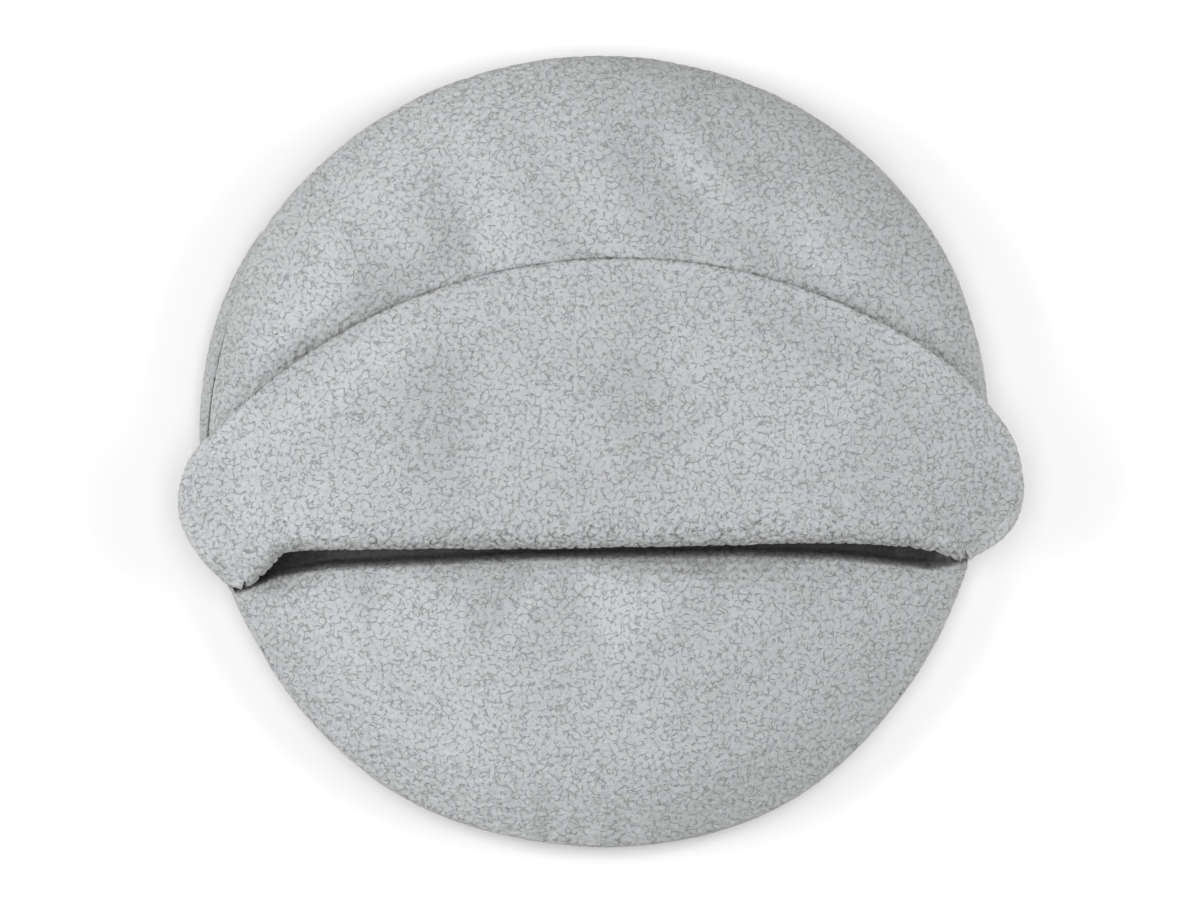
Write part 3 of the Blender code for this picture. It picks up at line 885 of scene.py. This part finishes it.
def hood_seam(radius, count):
    """Points on the hood's part of a circle, from the mouth's right end round the rear to its left end."""
    first = math.atan2(ROLL[-1, 1], ROLL[-1, 0])
    last = math.atan2(ROLL[0, 1], ROLL[0, 0]) % (2 * math.pi)
    turns = np.linspace(first, last, count)
    return radius * np.stack([np.cos(turns), np.sin(turns)], axis=1)


def hood_pattern(step, fine_from):
    """The hood's flat pattern: a disc of cloth with its front cut off at the mouth."""
    arc = hood_seam(HOOD.reach, 400)
    mouth = HOOD.flat(ROLL[:, :2] + np.array([0.0, 0.0015]))
    outline = np.concatenate([arc, mouth[1:-1]])
    columns = np.arange(-HOOD.reach - step, HOOD.reach + step, step)
    low, high = arc[:, 1].min() - step, HOOD.reach + step
    rows = rows_between(low, high, fine_from, high) if fine_from else np.arange(low, high, step)
    return cut_pattern(outline, columns, rows)


def build_hood(sherpa):
    """The hood's two faces, from the base at their seam up over the hood."""
    cut = hood_pattern(FINE * 1.12, 0.005)
    outer = piled_sheet("hood_outer", *cut, hood_surface, sherpa)
    declare_sheet(outer, "hood_outer_layer", *cut, "stretched", ["hood_lining_layer", "hood_piping"])
    cut = hood_pattern(0.0028, None)
    lining = piled_sheet("hood_lining", *cut, hood_underside, sherpa, -1.0, COARSE_CURL)
    declare_sheet(lining, "hood_lining_layer", *cut, "stretched", ["hood_piping"])
    for piece in (outer, lining):
        bend_with_hood(piece)


def hood_underside(pattern):
    return hood_surface(pattern, HOOD_THICK)


def bend_with_hood(piece):
    """Bakes the piece's transform into its mesh."""
    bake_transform(piece)


def build_roll(sherpa):
    """The rolled fold at the mouth, running down to the seam at each corner."""
    line = roll_path(FINE)
    sizes = line[:, 3] * (0.4 + 0.6 * smooth(0.0, 0.006, from_ends(len(line), FINE))) - OFF_ROLL
    roll = piled_tube("mouth_roll_cloth", line[:, :3], (0.0, 1.0, 0.3), sizes, 56, sherpa, height=0.0012)
    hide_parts("mouth_roll")
    bend_with_hood(roll)


def closed_form(pattern, faces, surface, floor):
    """Points and faces of a sheet with a flat underside and a side, so that it holds pressure."""
    top = surface(pattern)
    bottom = np.column_stack([top[:, :2], np.full(len(top), floor)])
    count = len(top)
    edges = np.concatenate([faces[:, [i, (i + 1) % 4]] for i in range(4)])
    known = {tuple(edge) for edge in edges.tolist()}
    rim = np.array([edge for edge in known if edge[::-1] not in known])
    rim = rim[np.lexsort((rim[:, 1], rim[:, 0]))]
    side = np.stack([rim[:, 1], rim[:, 0], rim[:, 0] + count, rim[:, 1] + count], axis=1)
    return np.concatenate([top, bottom]), np.concatenate([faces, faces[:, ::-1] + count, side])


# How the stuffed panel's cloth behaves in its simulation.
FLEECE = {
    "quality": 6, "mass": 0.3, "tension_stiffness": 12.0, "compression_stiffness": 12.0,
    "shear_stiffness": 4.0, "bending_stiffness": 1.5, "shrink_min": -0.010,
    "vertex_group_mass": "held", "pin_stiffness": 4.0, "use_pressure": True,
}  # fmt: skip


def run_cloth(mesh, held, frames, pressure):
    """Blows a closed mesh up as cloth and gives back its points; held ones stay where they are."""
    scene = bpy.context.scene
    form = new_object("cloth_form", mesh)
    group = form.vertex_groups.new(name="held")
    for index, weight in enumerate(held.tolist()):
        group.add([index], weight, "REPLACE")
    cloth = form.modifiers.new("cloth", "CLOTH")
    for key, value in {**FLEECE, "uniform_pressure_force": pressure}.items():
        setattr(cloth.settings, key, value)
    cloth.settings.effector_weights.gravity = 0.0
    cloth.point_cache.frame_start, cloth.point_cache.frame_end = 1, frames
    for number in range(1, frames + 1):
        scene.frame_set(number)
    settled = form.evaluated_get(bpy.context.evaluated_depsgraph_get()).data
    places = np.empty(len(settled.vertices) * 3)
    settled.vertices.foreach_get("co", places)
    bpy.data.objects.remove(form)
    scene.frame_set(1)
    return places.reshape(-1, 3)


class Billow:
    """How far the stuffing pushes a sheet out, found by a cloth simulation on a coarse copy."""

    def __init__(self, surface, outline, step, free, floor, pressure, limit):
        self.step, self.low = step, outline.min(axis=0) - step
        columns = np.arange(self.low[0], outline[:, 0].max() + step, step)
        rows = np.arange(self.low[1], outline[:, 1].max() + step, step)
        self.field = np.zeros((len(rows), len(columns), 3))
        pattern, faces = cut_pattern(outline, columns, rows)
        points, closed = closed_form(pattern, faces, surface, floor)
        mesh = bpy.data.meshes.new("cloth_form")
        mesh.from_pydata(points.tolist(), [], closed.tolist())
        held = np.concatenate([1.0 - free(pattern), np.ones(len(pattern))])
        moved = (run_cloth(mesh, held, 20, pressure) - points)[: len(pattern)]
        size = np.linalg.norm(moved, axis=1)
        moved *= (np.minimum(size, limit) / np.maximum(size, 1e-9))[:, None]
        spot = np.round((pattern - self.low) / step).astype(int)
        self.field[spot[:, 1], spot[:, 0]] = moved
        for _ in range(2):
            for axis in (0, 1):
                around = np.roll(self.field, 1, axis) + np.roll(self.field, -1, axis)
                self.field = 0.5 * self.field + 0.25 * around

    def at(self, pattern):
        place = (pattern - self.low) / self.step
        spot = np.floor(place).astype(int)
        spot = np.clip(spot, 0, np.array(self.field.shape[1::-1]) - 2)
        share = smooth(0.0, 1.0, place - spot)
        total = np.zeros((len(pattern), 3))
        for dx, dy in itertools.product((0, 1), repeat=2):
            weight = np.abs(1 - dx - share[:, 0]) * np.abs(1 - dy - share[:, 1])
            total += weight[:, None] * self.field[spot[:, 1] + dy, spot[:, 0] + dx]
        return total


def panel_freedom(pattern):
    """0 where the panel is held, at its seam and in the hollow under the roll, and 1 elsewhere."""
    radius = np.hypot(pattern[:, 0], pattern[:, 1])
    seam = smooth(PANEL.reach - 0.002, PANEL.reach - 0.010, radius)
    sunk = sink_under_roll(pattern[:, 0], pattern[:, 1])
    return seam * (1.0 - smooth(0.0002, 0.004, sunk))


def build_panel(sherpa):
    """The sleeping panel, pushed out by its stuffing."""
    turns = circle(720)
    outline = PANEL.reach * np.stack([np.cos(turns), np.sin(turns)], axis=1)
    billow = Billow(panel_surface, outline, 0.0055, panel_freedom, 0.012, 4.0, 0.006)

    def stuffed(pattern):
        return panel_surface(pattern) + billow.at(pattern)

    edge = PANEL.reach + 0.002
    columns = np.arange(-edge, edge, FINE)
    rows = rows_between(-edge, edge, -edge, -0.050)
    pattern, faces = cut_pattern(outline, columns, rows)
    # painted shade: the panel's colour darkens in the deep trench under the roll, where the roll shades it
    trench_shade = 0.75 * smooth(0.009, 0.016, sink_under_roll(pattern[:, 0], pattern[:, 1]))
    panel = piled_sheet("sleeping_panel_cloth", pattern, faces, stuffed, sherpa, height=0.0007, shade=trench_shade)
    on_base(panel, "sleeping_panel")


def strip_places(turn, share):
    """The side strip's face: a belly between its seams, drawn in to the zip at the rear."""
    degrees = np.degrees(turn)
    front = in_front(turn)
    top_radius = panel_seam_radius(turn) - 0.0014
    top_height = SEAM_HEIGHT + 0.0018 - FRONT_SEAM_DROP * front
    height = FLOOR_SEAM_HEIGHT + (top_height - FLOOR_SEAM_HEIGHT) * share
    under_hood = span(degrees, -26.0, 118.0, 34.0)
    target = side_radius(turn) - 0.0010
    target = target + (np.minimum(target, STRIP_UNDER_HOOD) - target) * under_hood
    belly = np.maximum(target - (FLOOR_SEAM_RADIUS + top_radius) / 2, 0.001)
    radius = FLOOR_SEAM_RADIUS + (top_radius - FLOOR_SEAM_RADIUS) * share
    radius = radius + belly * np.sin(math.pi * share) ** 0.7
    zipped = span(degrees, 39.0, 145.0, 4.0)
    off = np.abs(height - WAIST_HEIGHT) - ZIP_WINDOW / 2
    drawn = zipped * smooth(0.0050, 0.0, off)
    radius = radius + (STRIP_AT_ZIP - 0.0012 * smooth(0.0012, 0.0, off) - radius) * drawn
    return polar(radius, turn, height)


def build_strip(sherpa):
    """The side strip, open at the rear where the zip shows."""
    around, up = 1200, 36
    turn, share = np.meshgrid(circle(around), np.linspace(0, 1, up))
    turn, share = turn.ravel(), share.ravel()
    places = strip_places(turn, share)
    out = polar(1.0, turn, np.zeros(len(turn)))
    raised, crease = pile(np.stack([turn * 0.25, share * 0.04], axis=1), height=0.0007)
    places = places + out * raised[:, None]
    faces = grid_faces(up, around, closed=True)
    middle = places[faces].mean(axis=1)
    off_centre = np.abs(np.arctan2(middle[:, 1], middle[:, 0]) - ZIP_CENTRE)
    half = ZIP_WINDOW / 2 - 0.0002
    window = (off_centre < ZIP_HALF_ANGLE + 0.022) & (np.abs(middle[:, 2] - WAIST_HEIGHT) < half)
    strip = add_mesh("side_strip_cloth", places, faces[~window], sherpa, "sherpa", crease)
    on_base(strip, "side_strip")


def ring_path(radius, height, first, last, count):
    return polar(radius, np.linspace(first, last, count), np.full(count, height))


def build_piping(sherpa):
    """The welt in the seam under the hood."""
    count = 1000
    path = np.column_stack([hood_seam(SEAM_RADIUS + 0.0004, count), np.full(count, SEAM_HEIGHT + 0.0026)])
    sizes = np.full(count, 0.0017)
    piping = piled_tube("hood_piping_cloth", path, (0, 0, 1), sizes, 12, sherpa, 0.0032, 0.0004)
    on_base(piping, "hood_piping")


# --- hidden and rear pieces ---
def rubber_dots():
    """Places and faces of the dots, in staggered rows over the flat of the base cloth."""
    spacing, sides = 0.011, 10
    cells = [(i, j) for i in range(-24, 25) for j in range(-24, 25)]
    centres = np.array([((i + 0.5 * (j % 2)) * spacing, j * spacing * 0.866, 0.0) for i, j in cells])
    centres = centres[np.hypot(centres[:, 0], centres[:, 1]) < 0.219]
    dome = [(0.0, 0.0, 0.0)] * sides
    for size, high in ((0.0011, 0.0001), (0.0018, 0.0008)):
        dome += [(size * math.cos(turn), size * math.sin(turn), high) for turn in circle(sides)]
    places = (np.array(dome)[None] + centres[:, None]).reshape(-1, 3)
    one = grid_faces(3, sides, closed=True)[:, ::-1]
    faces = (one[None] + (np.arange(len(centres)) * len(dome))[:, None, None]).reshape(-1, 4)
    return places, faces


def build_base_cloth(oxford, rubber):
    """The base cloth, drawn up to its seam, with rubber dots for grip."""
    around, rings, flat_rings, flat_radius = 240, 44, 32, 0.228
    bend = np.linspace(0.1, math.pi / 2, rings - flat_rings)
    radii = np.concatenate([np.linspace(0.002, flat_radius, flat_rings), flat_radius + 0.0152 * np.sin(bend)])
    lift = np.concatenate([np.zeros(flat_rings), 0.0080 * (1 - np.cos(bend))])
    turn, index = np.meshgrid(circle(around), np.arange(rings))
    turn, index = turn.ravel(), index.ravel()
    radius = radii[index]
    pucker = 0.0007 * (0.5 + 0.5 * np.sin(turn * 55.0 + np.sin(turn * 9.0))) * smooth(0.215, 0.232, radius)
    places = polar(radius, turn, 0.0007 + lift[index] + pucker)
    faces = grid_faces(rings, around, closed=True)[:, ::-1]
    dots, dot_faces = rubber_dots()
    points, cells = np.concatenate([places, dots]), np.concatenate([faces, dot_faces + len(places)])
    cloth = add_mesh("base_cloth_oxford", points, cells, oxford, "base_oxford")
    cloth.data.materials.append(rubber)
    for polygon in cloth.data.polygons:
        if polygon.vertices[0] >= len(places):
            polygon.material_index = 1
    on_base(cloth, "base_cloth")


def cushion_shell(halves, inset, lump, lump_size, salt):
    """A lumpy polar grid over the upper (1) or lower (-1) half of the insert, or both, inside the cover."""
    around, rings = 260, 46
    turn, walk = np.meshgrid(circle(around), np.linspace(0.01, 1, rings))
    turn, walk = turn.ravel(), np.sin(walk.ravel() * math.pi / 2)
    radius = (0.2385 - inset) * walk
    x, y = radius * np.cos(turn), radius * np.sin(turn)
    rim = np.sqrt(np.maximum(0.0, 1.0 - walk**5))
    shells, faces = [], []
    for half in halves:
        if half > 0:
            end = PANEL.over(x, y) - 0.0066 - inset - sink_under_roll(x, y)
        else:
            end = 0.0024 + inset
        places = np.stack([x, y, WAIST_HEIGHT + (end - WAIST_HEIGHT) * rim], axis=1)
        push = lump * (soft_noise(places, lump_size, salt) - 1.0) * rim
        push += 0.3 * lump * (soft_noise(places, lump_size * 0.3, salt + 1) - 1.0) * rim
        places[:, 2] += half * push
        faces.append(grid_faces(rings, around, closed=True)[:, ::half] + len(shells) * len(places))
        shells.append(places)
    return np.concatenate(shells), np.concatenate(faces)


def build_insert(liner, filling):
    """The stuffed insert inside the cover: two casing halves round a lumpy filling."""
    for name, node, halves, inset, lump, size, salt, material, slot in (
        ("insert_top", "insert_casing_top", (1,), 0.0, 0.0014, 0.030, 41, liner, "insert_liner"),
        ("insert_bottom", "insert_casing_bottom", (-1,), 0.0, 0.0004, 0.030, 43, liner, "insert_liner"),
        ("insert_fibre", "insert_filling", (1, -1), 0.0022, 0.0030, 0.022, 45, filling, "fibre_filling"),
    ):
        places, faces = cushion_shell(halves, inset, lump, size, salt)
        piece = add_mesh(name, places, faces, material, slot)
        on_base(piece, node)


def build_zip(tape, nylon):
    """The zip's two tapes and two rows of coiled teeth."""
    first, last = ZIP_CENTRE - ZIP_HALF_ANGLE, ZIP_CENTRE + ZIP_HALF_ANGLE
    count = 420
    for side, name in ((1.0, "upper"), (-1.0, "lower")):
        path = ring_path(TAPE_RADIUS, WAIST_HEIGHT + side * 0.0062, first - 0.03, last + 0.03, count)
        path[:, 2] += 0.00025 * np.sin(np.linspace(0, 60, count) + side)
        places, _, faces = tube(path, (0, 0, 1), np.full(count, 0.0003), np.full(count, 0.0059), 44, 7.0)
        band = add_mesh("zip_tape_" + name + "_woven", places, faces, tape, "zip_tape")
        on_base(band, "zip_tape_" + name)
        coil = add_mesh("zip_coil_" + name + "_teeth", *coil_teeth(side, first, last), nylon, "zip_coil")
        on_base(coil, "zip_coil_" + name)


def coil_teeth(side, first, last):
    """One row of the zip's teeth: a fine coil, set half a tooth off from the other row."""
    pitch, per_turn = 0.0014, 9
    count = int((last - first) * COIL_RADIUS / pitch) * per_turn
    phase = np.arange(count) * 2 * math.pi / per_turn + (math.pi if side < 0 else 0.0)
    turn = np.linspace(first + 0.004, last - 0.004, count)
    radius = COIL_RADIUS + 0.0008 * np.cos(phase)
    height = WAIST_HEIGHT + side * (0.0013 + 0.0012 * np.sin(phase))
    path = polar(radius, turn, height)
    wire = np.full(count, 0.00030)
    places, _, faces = tube(path, (0.02, 0.03, 1.0), wire, wire, 6)
    return places, faces


# --- camera, light and floor ---
def build_stage():
    """A pale floor, two lamps at the sides and one overhead, in a faint even light."""
    floor_mesh = bpy.data.meshes.new("floor")
    half = 6.0
    corners = [(-half, -half, 0.0), (half, -half, 0.0), (half, half, 0.0), (-half, half, 0.0)]
    floor_mesh.from_pydata(corners, [], [(0, 1, 2, 3)])
    floor_mesh.materials.append(floor_material())
    new_object("floor", floor_mesh)

    world = bpy.data.worlds.new("studio")
    world.use_nodes = True
    background = world.node_tree.nodes["Background"].inputs
    background["Color"].default_value = (1.0, 1.0, 1.0, 1.0)
    background["Strength"].default_value = 0.24
    bpy.context.scene.world = world

    for name, place, size, power in (
        ("left", (-1.70, 0.10, 1.50), 1.2, 24.0),
        ("right", (1.70, 0.10, 1.50), 1.2, 23.0),
        ("overhead", (0.0, -0.10, 2.9), 1.4, 38.0),
    ):
        light = bpy.data.lights.new(name, "AREA")
        light.size = size
        light.energy = power
        lamp = new_object(name, light)
        lamp.location = place
        aim = Vector((0.0, 0.0, 0.05)) - Vector(place)
        lamp.rotation_euler = aim.to_track_quat("-Z", "Y").to_euler()
    bpy.context.scene.view_settings.view_transform = "Standard"


def build_camera():
    """The photograph's camera: nearly straight above, through a long lens."""
    elevation = math.radians(87.0)
    distance = 3.0
    view_width = 0.7595
    sensor = 36.0
    aim = Vector((0.0025, 0.0005, 0.042))
    camera_data = bpy.data.cameras.new("camera")
    camera_data.sensor_width = sensor
    camera_data.lens = sensor * distance / view_width
    camera = new_object("camera", camera_data)
    away = Vector((0.0, -math.cos(elevation), math.sin(elevation)))
    camera.location = aim + away * distance
    camera.rotation_euler = (math.pi / 2 - elevation, 0.0, 0.0)
    bpy.context.scene.camera = camera


def main():
    sherpa = sherpa_material()
    build_panel(sherpa)
    build_strip(sherpa)
    build_piping(sherpa)
    build_hood(sherpa)
    build_roll(sherpa)
    build_flap(sherpa)
    build_base_cloth(oxford_material(), rubber_material())
    build_insert(grained_material("insert_liner"), grained_material("fibre_filling"))
    build_zip(grained_material("zip_tape"), grained_material("zip_coil"))
    metal = metal_material()
    for name in ("zip_stop_closed", "zip_stop_open", "zip_slider", "zip_puller"):
        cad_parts[name].material_slots[0].material = metal
    build_camera()
    build_stage()


main()
